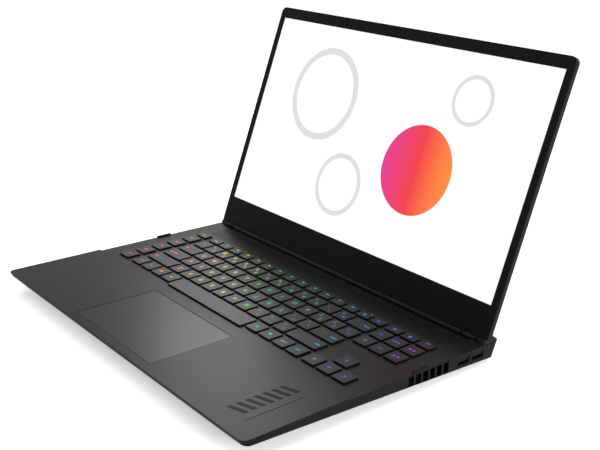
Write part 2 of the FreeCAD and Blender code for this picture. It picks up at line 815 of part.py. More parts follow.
def rear_chamfer_cut(inset):
    c = lid_rear_chamfer
    foot = lid_foot + inset * math.sqrt(2)
    corner = [(foot - c, lid_back_face - c), (foot + 2 * c, lid_back_face - c),
              (foot - c, lid_back_face + 2 * c)]
    wire = Part.makePolygon([FreeCAD.Vector(-wide, y, z) for y, z in corner + corner[:1]])
    return Part.Face(wire).extrude(FreeCAD.Vector(2 * wide, 0, 0))


# Arms of the hinges run up inside the lid, under the screen
arm_back = lid_back_face + lid_wall
arm_face = arm_back + hinge_arm_plate
knuckle_middle = knuckle_start + knuckle_length / 2


def hinge_arm(grow):
    half = hinge_arm_width / 2 + grow
    return box(knuckle_middle - half, knuckle_middle + half, hinge_web_start, lid_foot + hinge_arm_height,
               arm_back - grow, arm_face + grow)


back_blank = lid_slab(0, lid_back_face, shell_face)
back_edges = [e for e in back_blank.Edges
              if e.CenterOfMass.z < lid_back_face + face_reach
              and e.CenterOfMass.y > lid_foot + lid_corner]
back_blank = back_blank.makeFillet(lid_edge_round, back_edges)
back_cover = back_blank.cut(rear_chamfer_cut(0))
lid_room = lid_slab(lid_wall, lid_back_face + lid_wall, shell_face + rim_overlap)
back_cover = back_cover.cut(lid_room.cut(rear_chamfer_cut(lid_wall)))
arm_slot = hinge_arm(hinge_arm_fit)
back_cover = back_cover.cut(Part.Compound([arm_slot, mirrored(arm_slot)]))
save("lid_back_cover", stand_lid(back_cover))

screen_top = screen_bottom + screen_height
window = box(-screen_width / 2, screen_width / 2, screen_bottom, screen_top, shell_face, bezel_face)
webcam_y = screen_top + webcam_rise
bezel_holes = [rod(0, webcam_y, shell_face, webcam_lens_radius + webcam_lens_fit, bezel_thickness)]
for x in (-microphone_offset, microphone_offset):
    bezel_holes.append(rod(x, webcam_y, shell_face, microphone_radius, bezel_thickness))
bezel = lid_slab(0, shell_face, bezel_face).cut(Part.Compound([window] + bezel_holes))
save("screen_bezel", stand_lid(bezel))

panel = box(-screen_width / 2 - panel_flange, screen_width / 2 + panel_flange, screen_bottom - panel_flange,
            screen_top + panel_flange, shell_face - panel_body, shell_face)
glass_half = screen_width / 2 - panel_clearance
glass = box(-glass_half, glass_half, screen_bottom + panel_clearance, screen_top - panel_clearance,
            shell_face, bezel_face - panel_sink)
save("display_panel", stand_lid(join([panel, glass])))

board = box(-webcam_board_width / 2, webcam_board_width / 2, webcam_y - webcam_board_height / 2,
            webcam_y + webcam_board_height / 2, shell_face - webcam_board_depth, shell_face)
lens = rod(0, webcam_y, shell_face, webcam_lens_radius, bezel_thickness - webcam_lens_fit)
save("webcam_module", stand_lid(join([board, lens])))


# A barrel about the hinge axis, cut flat where it meets the lid's lower edge
def lid_barrel(x0, x1, radius):
    barrel = along_x(x0, x1, 0, 0, radius)
    return barrel.cut(box(x0, x1, lid_foot, radius + lid_foot, -radius, radius))


# Hinges: a knuckle and arm on the lid, and a pin held by a tower on the case
def hinge_knuckle():
    barrel = lid_barrel(knuckle_start, knuckle_start + knuckle_length, knuckle_radius)
    bore = along_x(knuckle_start, knuckle_start + knuckle_length, 0, 0, pin_radius + pin_fit)
    web = box(knuckle_middle - hinge_arm_width / 2, knuckle_middle + hinge_arm_width / 2,
              hinge_web_start, lid_foot, arm_back, -pin_radius - pin_fit)
    return join([barrel, web, hinge_arm(0)]).cut(bore)


def hinge_pin():
    tower_start = knuckle_start + knuckle_length + tower_gap
    tower_end = tower_start + tower_width
    pin = along_x(knuckle_start + tower_gap, tower_start + tower_width / 2, hinge_y, hinge_z, pin_radius)
    head = along_x(tower_start, tower_end, hinge_y, hinge_z, tower_radius)
    post = box(tower_start, tower_end, hinge_y - tower_radius, hinge_y + tower_radius, trough_z, hinge_z)
    foot = box(tower_start, tower_end + tower_width, hinge_y - tower_foot_depth / 2,
               hinge_y + tower_foot_depth / 2, trough_z, trough_z + tower_foot_plate)
    return join([pin, head, post, foot])


# A long cover closes the slit under the lid between and beside the hinges
tower_clear = knuckle_start + knuckle_length + 2 * tower_gap + tower_width
cover_end = trough_half - tower_gap
middle_cover = lid_barrel(tower_gap - knuckle_start, knuckle_start - tower_gap, knuckle_radius)
end_cover = lid_barrel(tower_clear, cover_end, knuckle_radius - 2 * tower_gap)
end_lip = join([
    along_x(cover_end, lid_half - lid_foot_corner, 0, 0, end_lip_radius),
    box(cover_end, lid_half - lid_foot_corner, 0, lid_foot, -end_lip_radius, end_lip_radius),
])
side_cover = join([end_cover, end_lip])
save("hinge_cover", stand_lid(Part.Compound([middle_cover, side_cover, mirrored(side_cover)])))

knuckle = stand_lid(hinge_knuckle())
save("hinge_knuckle_right", knuckle)
save("hinge_knuckle_left", mirrored(knuckle))
save("hinge_pin_right", hinge_pin())
save("hinge_pin_left", mirrored(hinge_pin()))

axis = FreeCAD.Vector(0, hinge_y, hinge_z) + origin_move
print("hinge axis", axis, "reach", reach, "desk", desk_z)
print("touchpad axis", FreeCAD.Vector(0, touchpad_rear, pad_top) + origin_move)
print("fan axis", FreeCAD.Vector(fan_offset, fan_middle_y, hub_z) + origin_move)
print("audio mouth", FreeCAD.Vector(-mouth_x, audio_y, audio_z) + origin_move)
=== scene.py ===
import json
import math
import bpy
from mathutils import Matrix, Vector


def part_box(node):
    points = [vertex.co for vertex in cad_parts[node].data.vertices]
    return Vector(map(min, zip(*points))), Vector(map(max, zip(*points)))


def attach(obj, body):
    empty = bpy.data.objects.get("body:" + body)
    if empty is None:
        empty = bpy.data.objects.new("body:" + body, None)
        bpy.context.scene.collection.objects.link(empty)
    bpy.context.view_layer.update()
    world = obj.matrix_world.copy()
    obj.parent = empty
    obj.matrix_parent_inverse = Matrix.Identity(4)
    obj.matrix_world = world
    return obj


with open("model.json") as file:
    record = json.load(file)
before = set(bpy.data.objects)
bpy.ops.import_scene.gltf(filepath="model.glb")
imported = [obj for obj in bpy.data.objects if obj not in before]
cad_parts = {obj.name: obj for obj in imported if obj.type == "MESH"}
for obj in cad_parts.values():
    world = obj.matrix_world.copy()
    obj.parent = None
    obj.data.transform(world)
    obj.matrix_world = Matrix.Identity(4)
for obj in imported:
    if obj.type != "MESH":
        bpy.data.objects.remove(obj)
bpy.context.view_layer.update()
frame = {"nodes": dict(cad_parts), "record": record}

mm = 0.001
print("frame loaded:", len(frame["nodes"]), "nodes")


def linear(hexColour):  # sRGB hex to linear RGBA
    levels = [int(hexColour[i:i + 2], 16) / 255 for i in (1, 3, 5)]
    return [c / 12.92 if c <= 0.04045 else ((c + 0.055) / 1.055) ** 2.4 for c in levels] + [1.0]


def addNode(tree, kind, settings={}, inputs={}, stops=()):  # stops are (place, hex) on a colour ramp
    made = tree.nodes.new(kind)
    for name, value in settings.items():
        setattr(made, name, value)
    for name, value in inputs.items():
        if isinstance(value, bpy.types.NodeSocket):
            tree.links.new(value, made.inputs[name])
        else:
            made.inputs[name].default_value = value
    for i, (place, hexColour) in enumerate(stops):
        element = made.color_ramp.elements[i] if i < 2 else made.color_ramp.elements.new(place)
        element.position = place
        element.color = linear(hexColour)
    return made


def newMaterial(name):
    material = bpy.data.materials.new(name)
    material.use_nodes = True
    tree = material.node_tree
    tree.nodes.clear()
    return material, tree


def endMaterial(tree, shader):
    addNode(tree, "ShaderNodeOutputMaterial", {}, {"Surface": shader.outputs[0]})


# Grain, broad tone and a roughness that follows the grain: the ground of every opaque finish here
noise = {"low": 0.3, "high": 0.7, "roughSpread": 0.04, "bumpStrength": 0.5}  # low and high bound the noise used


def grainFinish(name, look):
    material, tree = newMaterial(name)
    place = addNode(tree, "ShaderNodeTexCoord").outputs["Object"]
    stretch = addNode(tree, "ShaderNodeMapping", {}, {
        "Vector": place, "Scale": look.get("stretch", (1, 1, 1))})
    grain = addNode(tree, "ShaderNodeTexNoise", {}, {
        "Vector": stretch.outputs[0], "Scale": 1 / (look["grain"] * mm), "Detail": 3.0, "Roughness": 0.6})
    broad = addNode(tree, "ShaderNodeTexNoise", {}, {
        "Vector": place, "Scale": 1 / (look["broad"] * mm), "Detail": 4.0})
    tone = addNode(tree, "ShaderNodeValToRGB", {}, {"Fac": broad.outputs["Fac"]},
                   [(noise["low"], look["dark"]), (noise["high"], look["light"])])
    fleck = addNode(tree, "ShaderNodeMapRange", {}, {
        "Value": grain.outputs["Fac"], "From Min": noise["low"], "From Max": noise["high"],
        "To Min": 1 - look["fleck"], "To Max": 1 + look["fleck"]})
    colour = addNode(tree, "ShaderNodeVectorMath", {"operation": "SCALE"}, {
        "Vector": tone.outputs["Color"], "Scale": fleck.outputs[0]})
    rough = addNode(tree, "ShaderNodeMapRange", {}, {
        "Value": grain.outputs["Fac"], "From Min": noise["low"], "From Max": noise["high"],
        "To Min": look["rough"] - noise["roughSpread"], "To Max": look["rough"] + noise["roughSpread"]})
    bump = addNode(tree, "ShaderNodeBump", {}, {
        "Height": grain.outputs["Fac"], "Distance": look["bump"] * mm, "Strength": noise["bumpStrength"]})
    shader = addNode(tree, "ShaderNodeBsdfPrincipled", {}, {
        "Base Color": colour.outputs[0], "Roughness": rough.outputs[0],
        "Metallic": look["metal"], "Specular IOR Level": look.get("shine", 0.5), "Normal": bump.outputs[0]})
    endMaterial(tree, shader)
    return material, tree, shader, colour.outputs[0], place


# Each finish is what the real one is made of; grain and broad are in mm, drawn as coarse as they show
finishes = {
    "anodised_deck": {  # bead-blasted, dark anodised aluminium: soft metal sheen, pearly fine grain
        "called": "blastedAnodisedAluminium", "dark": "#151516", "light": "#1b1b1c",
        "metal": 0.04, "rough": 0.34, "shine": 0.06, "grain": 0.5, "broad": 70, "fleck": 0.10, "bump": 0.02},
    "painted_cover": {  # powder-coated magnesium: satin black with a slight orange peel
        "called": "satinBlackPowderCoat", "dark": "#101011", "light": "#161617",
        "metal": 0.0, "rough": 0.48, "shine": 0.12, "grain": 0.7, "broad": 90, "fleck": 0.08, "bump": 0.03},
    "keycap_plastic": {  # ABS under a matt lacquer, charcoal; further down the key walls get painted shade
        "called": "lacqueredKeyPlastic", "dark": "#1c1c1c", "light": "#222223",
        "metal": 0.05, "rough": 0.38, "shine": 0.1, "grain": 0.35, "broad": 40, "fleck": 0.07, "bump": 0.01},
    "touchpad_glass": {  # etched glass backed in grey: smoother and a little warmer than the deck
        "called": "etchedTouchpadGlass", "dark": "#1a1a1b", "light": "#1f1f20",
        "metal": 0.04, "rough": 0.29, "shine": 0.07, "grain": 0.3, "broad": 55, "fleck": 0.04, "bump": 0.006},
    "bezel_plastic": {  # moulded PC/ABS with a spark-eroded texture: flat, near black
        "called": "texturedBezelPlastic", "dark": "#0b0b0b", "light": "#101011",
        "metal": 0.0, "rough": 0.52, "shine": 0.06, "grain": 0.45, "broad": 60, "fleck": 0.10, "bump": 0.03},
    "hinge_metal": {  # zinc casting, black e-coat: soft sheen along the barrel
        "called": "blackCoatedZinc", "dark": "#0c0c0c", "light": "#121213",
        "metal": 0.0, "rough": 0.4, "shine": 0.12, "grain": 0.6, "broad": 20, "fleck": 0.08, "bump": 0.02},
    "black_rubber": {  # moulded TPE: matt, slightly dusty
        "called": "matRubber", "dark": "#111111", "light": "#181818",
        "metal": 0.0, "rough": 0.85, "shine": 0.12, "grain": 0.5, "broad": 12, "fleck": 0.12, "bump": 0.04},
    "port_steel": {  # nickel-plated steel sheet, drawn along its length
        "called": "platedSocketSteel", "dark": "#8b8b8d", "light": "#9a9a9c",
        "metal": 1.0, "rough": 0.3, "grain": 0.4, "broad": 8, "fleck": 0.08, "bump": 0.01,
        "stretch": (0.1, 1, 1)},
    "port_plastic": {  # black glass-filled nylon of the sockets and the camera
        "called": "socketNylon", "dark": "#0b0b0c", "light": "#111112",
        "metal": 0.0, "rough": 0.45, "shine": 0.12, "grain": 0.4, "broad": 10, "fleck": 0.10, "bump": 0.02},
    "inner_plastic": {  # moulded black polycarbonate of fans, speakers and battery
        "called": "mouldedInnerPlastic", "dark": "#171718", "light": "#202022",
        "metal": 0.0, "rough": 0.55, "grain": 0.7, "broad": 30, "fleck": 0.10, "bump": 0.03},
    "cooler_metal": {  # bare drawn copper with brown patches of tarnish
        "called": "drawnCopper", "dark": "#a8663f", "light": "#c98b62",
        "metal": 1.0, "rough": 0.3, "grain": 0.5, "broad": 14, "fleck": 0.08, "bump": 0.01,
        "stretch": (0.08, 1, 1)},
    "plate_steel": {  # rolled zinc-plated sheet, fine lines along the roll
        "called": "rolledPlateSteel", "dark": "#86878a", "light": "#98999c",
        "metal": 1.0, "rough": 0.36, "grain": 0.6, "broad": 25, "fleck": 0.10, "bump": 0.01,
        "stretch": (0.06, 1, 1)},
    "circuit_board": {  # epoxy laminate under green solder mask, copper runs showing through
        "called": "solderMaskBoard", "dark": "#123b22", "light": "#1a4d2d",
        "metal": 0.0, "rough": 0.35, "grain": 0.8, "broad": 9, "fleck": 0.12, "bump": 0.02},
}

slotMaterials = {}
parts = {}
for slotName, look in finishes.items():
    parts[slotName] = grainFinish(look["called"], look)
    slotMaterials[slotName] = parts[slotName][0]

# Keyboard sizes, read back from the frame
keyBox = {node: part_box(node) for node in frame["nodes"] if node.endswith(("_key", "_keys"))}
keySteps = {"number": 12, "function": 14, "rows": 4}  # steps from the first key or row to the last
capWidth = keyBox["arrow_up_key"][1].x - keyBox["arrow_up_key"][0].x
thinWidth = keyBox["power_key"][1].x - keyBox["power_key"][0].x
thinDepth = keyBox["power_key"][1].y - keyBox["power_key"][0].y
keyPitch = (keyBox["number_keys"][1].x - keyBox["number_keys"][0].x - capWidth) / keySteps["number"]
thinPitch = (keyBox["function_keys"][1].x - keyBox["function_keys"][0].x - thinWidth) / keySteps["function"]
rowPitch = (keyBox["number_keys"][0].y - keyBox["modifier_keys"][0].y) / keySteps["rows"]
capTop = keyBox["arrow_up_key"][1].z

# Painted shade: key walls turn near black below the bevel, standing in for the shade on the keys' sides
keyWallShade = {"colour": "#060606", "bevel": 0.45, "blur": 0.12}
material, tree, shader, colour, place = parts["keycap_plastic"]
height = addNode(tree, "ShaderNodeSeparateXYZ", {}, {"Vector": place}).outputs["Z"]
onTop = addNode(tree, "ShaderNodeMapRange", {}, {
    "Value": height, "From Min": capTop - (keyWallShade["bevel"] + keyWallShade["blur"]) * mm,
    "From Max": capTop - keyWallShade["bevel"] * mm})
wallShadeMix = addNode(tree, "ShaderNodeMix", {"data_type": "RGBA"}, {"Factor": onTop.outputs[0]})
tree.links.new(colour, wallShadeMix.inputs[7])
wallShadeMix.inputs[6].default_value = linear(keyWallShade["colour"])
tree.links.new(wallShadeMix.outputs[2], shader.inputs["Base Color"])

# Lit screen: a matt panel showing a plain white picture with pale rings and one warm disc
picture = {
    "white": "#fbfbfc", "ring": "#d9dadd", "glass": "#050505",
    "glow": 1.0, "pixel": 0.8, "rough": (0.32, 0.42), "facing": -0.1,
    "rings": [(-92, 34, 46, 7), (-34, -52, 30, 5), (104, 62, 22, 4)],  # x, y, radius and width in mm
    "disc": (62, -14, 44), "discTones": [(0.0, "#e0188c"), (0.5, "#f0202c"), (1.0, "#ff8a1e")]}
panelFaces = frame["nodes"]["display_panel"].data.polygons
panelFace = max((face for face in panelFaces if face.normal.y < picture["facing"]), key=lambda face: face.area)
lidLean = math.atan2(-panelFace.normal.y, panelFace.normal.z)
panelLow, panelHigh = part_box("display_panel")
screenMiddle = (panelLow + panelHigh) / 2
material, tree = newMaterial("litMattScreen")
place = addNode(tree, "ShaderNodeTexCoord").outputs["Object"]
flat = addNode(tree, "ShaderNodeMapping", {"vector_type": "TEXTURE"}, {
    "Vector": place, "Location": screenMiddle, "Rotation": (lidLean, 0, 0), "Scale": (mm, mm, mm)})
onScreen = addNode(tree, "ShaderNodeVectorMath", {"operation": "MULTIPLY"}, {
    0: flat.outputs[0], 1: (1, 1, 0)})
shade = addNode(tree, "ShaderNodeRGB").outputs[0]
shade.default_value = linear(picture["white"])
for x, y, radius, width in picture["rings"]:
    reach = addNode(tree, "ShaderNodeVectorMath", {"operation": "DISTANCE"}, {
        0: onScreen.outputs[0], 1: (x, y, 0)})
    ring = addNode(tree, "ShaderNodeMath", {"operation": "COMPARE"}, {
        0: reach.outputs["Value"], 1: radius, 2: width / 2})
    mixed = addNode(tree, "ShaderNodeMix", {"data_type": "RGBA"}, {"Factor": ring.outputs[0]})
    tree.links.new(shade, mixed.inputs[6])
    mixed.inputs[7].default_value = linear(picture["ring"])
    shade = mixed.outputs[2]
x, y, radius = picture["disc"]
fromDisc = addNode(tree, "ShaderNodeVectorMath", {"operation": "SUBTRACT"}, {
    0: onScreen.outputs[0], 1: (x, y, 0)})
discReach = addNode(tree, "ShaderNodeVectorMath", {"operation": "LENGTH"}, {0: fromDisc.outputs[0]})
inDisc = addNode(tree, "ShaderNodeMath", {"operation": "LESS_THAN"}, {
    0: discReach.outputs["Value"], 1: radius})
rise = addNode(tree, "ShaderNodeSeparateXYZ", {}, {"Vector": fromDisc.outputs[0]})
lift = addNode(tree, "ShaderNodeMapRange", {}, {
    "Value": rise.outputs["X"], "From Min": -radius, "From Max": radius})
discTone = addNode(tree, "ShaderNodeValToRGB", {}, {"Fac": lift.outputs[0]}, picture["discTones"])
mixed = addNode(tree, "ShaderNodeMix", {"data_type": "RGBA"}, {"Factor": inDisc.outputs[0]})
tree.links.new(shade, mixed.inputs[6])
tree.links.new(discTone.outputs["Color"], mixed.inputs[7])
dots = addNode(tree, "ShaderNodeTexNoise", {}, {
    "Vector": flat.outputs[0], "Scale": 1 / picture["pixel"], "Detail": 1.0})
haze = addNode(tree, "ShaderNodeMapRange", {}, {
    "Value": dots.outputs["Fac"], "To Min": picture["rough"][0], "To Max": picture["rough"][1]})
shader = addNode(tree, "ShaderNodeBsdfPrincipled", {}, {
    "Base Color": linear(picture["glass"]), "Roughness": haze.outputs[0], "Emission Color": mixed.outputs[2],
    "Emission Strength": picture["glow"]})
endMaterial(tree, shader)
slotMaterials["screen_panel"] = material

# Power light: frosted acrylic lit from below, finely mottled
powerLight = {"glow": 1.0, "tones": [(0.3, "#c9d6e6"), (0.6, "#ffffff")], "grain": 0.3, "rough": 0.4}
material, tree = newMaterial("frostedLightPipe")
place = addNode(tree, "ShaderNodeTexCoord").outputs["Object"]
frost = addNode(tree, "ShaderNodeTexNoise", {}, {"Vector": place, "Scale": 1 / (powerLight["grain"] * mm)})
tone = addNode(tree, "ShaderNodeValToRGB", {}, {"Fac": frost.outputs["Fac"]}, powerLight["tones"])
shader = addNode(tree, "ShaderNodeBsdfPrincipled", {}, {
    "Base Color": tone.outputs["Color"], "Roughness": powerLight["rough"],
    "Emission Color": tone.outputs["Color"], "Emission Strength": powerLight["glow"]})
endMaterial(tree, shader)
slotMaterials["led_light"] = material

for part in frame["record"]["subparts"]:
    mesh = frame["nodes"][part["node"]].data
    mesh.materials.clear()
    mesh.materials.append(slotMaterials[part["material_slot"]])
print("finishes set:", len(slotMaterials))

# Backlit legend ink: colour runs across the board from red at the left to magenta at the right
legendGlow = {
    "slant": 0.5, "start": -150, "end": 232, "strength": 1.1, "ink": "#0a0a0a", "rough": 0.5, "shine": 0.1,
    "stops": [(0.0, "#ff3a24"), (0.12, "#ff7a1e"), (0.2, "#ffb01e"), (0.27, "#f4dc28"), (0.36, "#a8e226"),
              (0.44, "#24d24c"), (0.53, "#12c478"), (0.64, "#0fb2a4"), (0.73, "#1698cc"), (0.8, "#2a6cd8"),
              (0.87, "#5a4cd8"), (0.94, "#8a40cc"), (1.0, "#b43caa")]}
material, tree = newMaterial("backlitLegendInk")
place = addNode(tree, "ShaderNodeTexCoord").outputs["Object"]
run = addNode(tree, "ShaderNodeVectorMath", {"operation": "DOT_PRODUCT"}, {
    0: place, 1: (1 / mm, legendGlow["slant"] / mm, 0)})
frontLine = keyBox["modifier_keys"][0].y / mm * legendGlow["slant"]
share = addNode(tree, "ShaderNodeMapRange", {}, {
    "Value": run.outputs["Value"],
    "From Min": legendGlow["start"] + frontLine, "From Max": legendGlow["end"] + frontLine})
tone = addNode(tree, "ShaderNodeValToRGB", {}, {"Fac": share.outputs[0]}, legendGlow["stops"])
shader = addNode(tree, "ShaderNodeBsdfPrincipled", {}, {
    "Base Color": linear(legendGlow["ink"]), "Roughness": legendGlow["rough"],
    "Specular IOR Level": legendGlow["shine"],
    "Emission Color": tone.outputs["Color"], "Emission Strength": legendGlow["strength"]})
endMaterial(tree, shader)
legendInk = material


def startFresh():
    if bpy.context.object and bpy.context.object.mode != "OBJECT":
        bpy.ops.object.mode_set(mode="OBJECT")
    bpy.ops.object.select_all(action="DESELECT")


def finishPiece(piece, name, body, material):
    piece.name = name
    piece.data.name = name
    piece.data.materials.clear()
    piece.data.materials.append(material)
    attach(piece, body)
    return piece


def thicken(height):  # gives the flat active piece its thickness, faces outwards
    bpy.ops.object.mode_set(mode="EDIT")
    bpy.ops.mesh.select_all(action="SELECT")
    bpy.ops.mesh.extrude_region_move(TRANSFORM_OT_translate={"value": (0, 0, height)})
    bpy.ops.mesh.select_all(action="SELECT")
    bpy.ops.mesh.normals_make_consistent(inside=False)
    bpy.ops.object.mode_set(mode="OBJECT")
    return bpy.context.object


def joinPieces(pieces):
    startFresh()
    for piece in pieces:
        piece.select_set(True)
    bpy.context.view_layer.objects.active = pieces[0]
    if len(pieces) > 1:
        bpy.ops.object.join()
    return bpy.context.object


# Legends: letters, pairs, words, dots and arrows, a hair above the key tops
legend = {
    "letter": 6.2, "pairSize": 4.8, "word": 3.5, "thin": 3.2, "arrow": 6.5, "dot": 1.7, "dotCorners": 20,
    "ink": 0.012, "float": 0.02, "bold": 0.1, "pairX": 2.7, "pairY": 3.0, "stackY": 2.3, "edge": 2.4}


def addText(words, x, y, size, align="CENTER", turn=0):
    startFresh()
    bpy.ops.object.text_add(location=(x, y, capTop + legend["float"] * mm), rotation=(0, 0, turn))
    piece = bpy.context.object
    piece.data.body = words
    piece.data.size = size * mm
    piece.data.align_x = align
    piece.data.align_y = "CENTER"
    piece.data.extrude = legend["ink"] * mm
    piece.data.offset = legend["bold"] * mm
    piece.data.resolution_u = 2
    bpy.ops.object.convert(target="MESH")
    bpy.ops.object.transform_apply(location=True, rotation=True, scale=True)
    return bpy.context.object


def addDot(x, y):
    startFresh()
    bpy.ops.mesh.primitive_circle_add(
        vertices=legend["dotCorners"], radius=legend["dot"] * mm, fill_type="NGON",
        location=(x, y, capTop + (legend["float"] - legend["ink"]) * mm))
    bpy.ops.object.transform_apply(location=True, rotation=True, scale=True)
    return thicken(2 * legend["ink"] * mm)


def legendsFor(words, x, y):  # one text: letter or word; two texts: shift mark over main mark
    if words == "dot":
        return [addDot(x, y)]
    if len(words) == 1 and isinstance(words, str):
        return [addText(words, x, y, legend["letter"])]
    if isinstance(words, str):
        return [addText(words, x, y, legend["word"])]
    upper, lower = words
    if upper.startswith("F"):
        return [addText(upper, x, y + legend["stackY"] * mm, legend["thin"]),
                addText(lower, x, y - legend["stackY"] * mm, legend["thin"])]
    return [addText(upper, x - legend["pairX"] * mm, y + legend["pairY"] * mm, legend["pairSize"]),
            addText(lower, x + legend["pairX"] * mm, y - legend["pairY"] * mm, legend["pairSize"])]


# Legends of each row from the left; two marks are the shifted one over the plain one
letterRows = {
    "number_keys": ["~`", "!1", "@2", "#3", "$4", "%5", "^6", "&7", "*8", "(9", ")0", "_-", "+="],
    "upper_letter_keys": list("QWERTYUIOP") + ["{[", "}]", "|\\"],
    "home_letter_keys": list("ASDFGHJKL") + [":;", "\"'"],
    "lower_letter_keys": list("ZXCVBNM") + ["<,", ">.", "?/"],
    "modifier_keys": ["ctrl", "fn", "dot", "alt", "alt", "dot", "menu", "ctrl"],
}
modifierPlaces = [0, 1, 2, 3, 10.5, 11.5, 12.5, 13.5]  # key widths from the left, the space bar between
thinRow = ["esc"] + [("F%d" % i, "- -") for i in range(1, 13)] + [None, "del"]
macroColumn = ["M1", "M2", "M3", "M4", "M5", "M6"]
navBlock = [["del", "ins", "dot"], ["end", "home", "dot"], ["pg dn", "pg up", ("F13", "- -")]]
sideWords = {
    "tab_key": ("tab", "LEFT"), "caps_lock_key": ("caps lock", "LEFT"), "left_shift_key": ("shift", "LEFT"),
    "backspace_key": ("back", "RIGHT"), "enter_key": ("enter", "RIGHT"),
    "right_shift_key": ("shift", "RIGHT")}
arrowTurns = {"arrow_up_key": -90, "arrow_left_key": 0, "arrow_down_key": 90, "arrow_right_key": 180}

made = {}
for node, row in letterRows.items():
    low = keyBox[node][0]
    places = modifierPlaces if node == "modifier_keys" else range(len(row))
    made[node] = []
    for words, across in zip(row, places):
        pair = tuple(words) if len(words) == 2 and not words.isalpha() else words
        made[node] += legendsFor(pair, low.x + capWidth / 2 + across * keyPitch, low.y + capWidth / 2)
low = keyBox["function_keys"][0]
made["function_keys"] = []
for i, words in enumerate(thinRow):
    if words:
        x = low.x + thinWidth / 2 + i * thinPitch
        made["function_keys"] += legendsFor(words, x, low.y + thinDepth / 2)
low = keyBox["macro_keys"][0]
made["macro_keys"] = []
for i, words in enumerate(macroColumn):
    depth = thinDepth if i == len(macroColumn) - 1 else capWidth
    made["macro_keys"] += legendsFor(words, low.x + capWidth / 2, low.y + i * rowPitch + depth / 2)
low = keyBox["navigation_keys"][0]
made["navigation_keys"] = []
for i, column in enumerate(navBlock):
    for j, words in enumerate(column):
        depth = thinDepth if j == len(column) - 1 else capWidth
        x = low.x + capWidth / 2 + i * keyPitch
        made["navigation_keys"] += legendsFor(words, x, low.y + j * rowPitch + depth / 2)
for node, (words, align) in sideWords.items():
    low, high = keyBox[node]
    x = low.x + legend["edge"] * mm if align == "LEFT" else high.x - legend["edge"] * mm
    made[node] = [addText(words, x, (low.y + high.y) / 2, legend["word"], align)]
for node, turn in arrowTurns.items():
    low, high = keyBox[node]
    x, y = (low.x + high.x) / 2, (low.y + high.y) / 2
    made[node] = [addText("<", x, y, legend["arrow"], turn=math.radians(turn))]
low, high = keyBox["power_key"]
made["power_key"] = [addDot((low.x + high.x) / 2, (low.y + high.y) / 2)]

for node, marks in made.items():
    finishPiece(joinPieces(marks), node + "_legends", node, legendInk)
print("legends printed on", len(made), "key groups")

# Palm-rest ornament: slanted gloss bars and a pinstripe at the right, printed thin on the metal
palmBars = {
    "left": 151, "right": 167, "front": 20, "back": 78, "count": 7, "bar": 4.2, "slant": 5, "thick": 0.06,
    "stripe": 175, "stripeWidth": 0.8}
inkLook = {
    "dark": "#050506", "light": "#0a0a0b", "metal": 0.0, "rough": 0.4, "shine": 0.03,
    "grain": 1.2, "broad": 25, "fleck": 0.05, "bump": 0.004}
glossInk = grainFinish("glossScreenPrint", inkLook)[0]  # cured screen-print ink: wet-looking black
caseLow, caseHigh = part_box("top_case")
palmTop = caseHigh.z


def addBar(x0, x1, y0, y1, z, thick, slant):  # a flat bar, its right end pushed back by slant
    startFresh()
    bpy.ops.mesh.primitive_plane_add(size=1, location=((x0 + x1) / 2, (y0 + y1) / 2, z))
    bar = bpy.context.object
    bar.scale = (x1 - x0, y1 - y0, 1)
    bpy.ops.object.transform_apply(location=True, rotation=True, scale=True)
    for corner in bar.data.vertices:
        if corner.co.x > (x0 + x1) / 2:
            corner.co.y += slant
    return thicken(thick)


step = (palmBars["back"] - palmBars["front"]) / palmBars["count"] * mm
bars = []
for i in range(palmBars["count"]):
    y = caseLow.y + palmBars["front"] * mm + i * step
    bars.append(addBar(palmBars["left"] * mm, palmBars["right"] * mm, y, y + palmBars["bar"] * mm, palmTop,
                       palmBars["thick"] * mm, palmBars["slant"] * mm))
stripeX = palmBars["stripe"] * mm
bars.append(addBar(stripeX, stripeX + palmBars["stripeWidth"] * mm, caseLow.y + palmBars["front"] * mm,
                   caseLow.y + palmBars["back"] * mm, palmTop, palmBars["thick"] * mm, 0))
finishPiece(joinPieces(bars), "palm_bars", "base", glossInk)
print("palm rest printed")

# Sound holes behind the function row, as painted shade: one dark disc stands in for the shade inside each hole,
# repeated across the deck in rows
soundHoles = {
    "side": 172, "gap": 8.5, "pitch": 4.0, "rows": 5,
    "radius": 1.0, "corners": 10, "thick": 0.03, "sink": 0.01}
holeShadeLook = {
    "dark": "#020202", "light": "#050505", "metal": 0.0, "rough": 0.9, "shine": 0.0,
    "grain": 0.5, "broad": 30, "fleck": 0.05, "bump": 0.01}
holeShade = grainFinish("punchedHoleShade", holeShadeLook)[0]  # painted shade inside a punched hole: near black, no sheen
startFresh()
bpy.ops.mesh.primitive_circle_add(
    vertices=soundHoles["corners"], radius=soundHoles["radius"] * mm, fill_type="NGON",
    location=(-soundHoles["side"] * mm, keyBox["function_keys"][1].y + soundHoles["gap"] * mm,
              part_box("lid_bumpers")[0].z - soundHoles["sink"] * mm))
bpy.ops.object.transform_apply(location=True, rotation=True, scale=True)
holes = thicken(soundHoles["thick"] * mm)
acrossCount = round(2 * soundHoles["side"] / soundHoles["pitch"]) + 1
for name, count, offset in (("across", acrossCount, (1, 0, 0)), ("back", soundHoles["rows"], (0, 1, 0))):
    repeat = holes.modifiers.new(name, "ARRAY")
    repeat.count = count
    repeat.use_relative_offset = False
    repeat.use_constant_offset = True
    repeat.constant_offset_displace = [c * soundHoles["pitch"] * mm for c in offset]
    bpy.ops.object.modifier_apply(modifier=name)
finishPiece(holes, "sound_hole_shade", "base", holeShade)
print("sound holes punched:", acrossCount * soundHoles["rows"])

